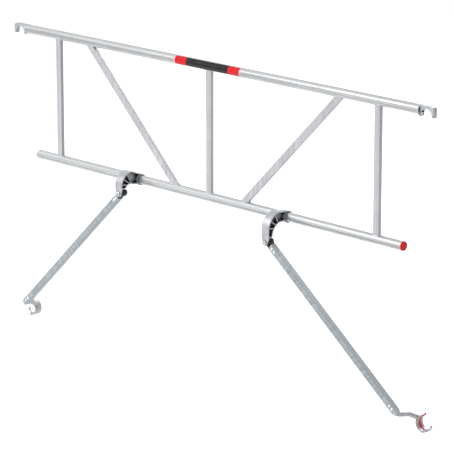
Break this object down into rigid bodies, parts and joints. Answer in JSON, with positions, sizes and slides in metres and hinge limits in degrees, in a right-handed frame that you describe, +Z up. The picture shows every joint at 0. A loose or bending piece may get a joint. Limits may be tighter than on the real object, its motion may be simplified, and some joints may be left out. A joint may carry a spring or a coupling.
{
  "type": "advance guard rail frame",
  "caption": "Tubular guard rail frame with rung hooks at the top and folding legs with latching claws, for closing one side of a mobile scaffold tower.",
  "frame": {"origin": "midway between the two top hooks, on the axis of the rungs that they hang on", "axes": "+X along the rails, +Z up, legs stand out towards -Y"},
  "size_m": [2.246, 0.1334, 1.2031],
  "materials": {
    "rail_tube": "mill finish, satin",
    "brace_tube": "mill finish, satin",
    "leg_tube": "matt anodised",
    "cast_alloy": "as cast",
    "zinc_steel": "zinc plated",
    "spring_steel": "plain",
    "rivets": "satin",
    "red_plastic": "semi-gloss moulded",
    "black_plastic": "moulded",
    "label": "printed film, left bare of any lettering"
  },
  "bodies": {
    "frame": {"top_rail": "rail_tube", "bottom_rail": "rail_tube", "centre_post": "brace_tube", "left_post": "brace_tube", "right_post": "brace_tube", "left_diagonal": "brace_tube", "right_diagonal": "brace_tube", "left_end_cap": "red_plastic", "right_end_cap": "red_plastic", "rail_label": "label", "left_top_hook": "cast_alloy", "right_top_hook": "cast_alloy", "left_pawl_pin": "zinc_steel", "right_pawl_pin": "zinc_steel", "left_pawl_spring": "spring_steel", "right_pawl_spring": "spring_steel", "hook_rivets": "rivets", "left_bracket": "cast_alloy", "right_bracket": "cast_alloy", "collar_rivets": "rivets", "left_pivot_bolt": "zinc_steel", "right_pivot_bolt": "zinc_steel", "left_pivot_bush": "zinc_steel", "right_pivot_bush": "zinc_steel", "left_pivot_washer": "zinc_steel", "right_pivot_washer": "zinc_steel", "left_pivot_nut": "zinc_steel", "right_pivot_nut": "zinc_steel"},
    "left_pawl": {"left_hook_pawl": "zinc_steel"},
    "left_leg": {"left_leg_tube": "leg_tube", "left_leg_eye": "black_plastic", "left_eye_rivets": "rivets", "left_claw": "cast_alloy", "left_claw_rivets": "rivets", "left_jaw_pin": "zinc_steel", "left_jaw_spring": "spring_steel"},
    "left_jaw": {"left_claw_jaw": "cast_alloy"},
    "left_slide": {"left_claw_slide": "red_plastic"},
    "right_pawl": {"right_hook_pawl": "zinc_steel"},
    "right_leg": {"right_leg_tube": "leg_tube", "right_leg_eye": "black_plastic", "right_eye_rivets": "rivets", "right_claw": "cast_alloy", "right_claw_rivets": "rivets", "right_jaw_pin": "zinc_steel", "right_jaw_spring": "spring_steel"},
    "right_jaw": {"right_claw_jaw": "cast_alloy"},
    "right_slide": {"right_claw_slide": "red_plastic"}
  },
  "joints": [
    {"name": "left_leg_fold", "type": "hinge", "parent": "frame", "child": "left_leg", "pos_m": [-0.398, -0.085, -0.5241], "axis": [0, 1, 0], "range_deg": [-66.5, 43.5]},
    {"name": "left_hook_latch", "type": "hinge", "parent": "frame", "child": "left_pawl", "pos_m": [-1.0507, 0, 0.006], "axis": [0, -1, 0], "range_deg": [0, 15], "stiffness_Nm_per_rad": 0.05, "springref_deg": -20.05},
    {"name": "left_jaw_hinge", "type": "hinge", "parent": "left_leg", "child": "left_jaw", "pos_m": [-1.03948, 0, -1.16253], "axis": [0, -1, 0], "range_deg": [0, 55], "stiffness_Nm_per_rad": 0.06, "springref_deg": -22.92},
    {"name": "left_release_slide", "type": "hinge", "parent": "left_leg", "child": "left_slide", "pos_m": [-1.0424, 0, -1.13217], "axis": [0, -1, 0], "range_deg": [0, 14]},
    {"name": "right_leg_fold", "type": "hinge", "parent": "frame", "child": "right_leg", "pos_m": [0.398, -0.085, -0.5641], "axis": [0, -1, 0], "range_deg": [-72.1, 37.9]},
    {"name": "right_hook_latch", "type": "hinge", "parent": "frame", "child": "right_pawl", "pos_m": [1.0507, 0, 0.006], "axis": [0, 1, 0], "range_deg": [0, 15], "stiffness_Nm_per_rad": 0.05, "springref_deg": -20.05},
    {"name": "right_jaw_hinge", "type": "hinge", "parent": "right_leg", "child": "right_jaw", "pos_m": [1.09872, 0, -1.13688], "axis": [0, 1, 0], "range_deg": [0, 55], "stiffness_Nm_per_rad": 0.06, "springref_deg": -22.92},
    {"name": "right_release_slide", "type": "hinge", "parent": "right_leg", "child": "right_slide", "pos_m": [1.09866, 0, -1.10638], "axis": [0, 1, 0], "range_deg": [0, 14]}
  ],
  "couplings": [
    {"joint": "left_release_slide", "follows": "left_jaw_hinge", "ratio": 0.25},
    {"joint": "right_release_slide", "follows": "right_jaw_hinge", "ratio": 0.25}
  ]
}
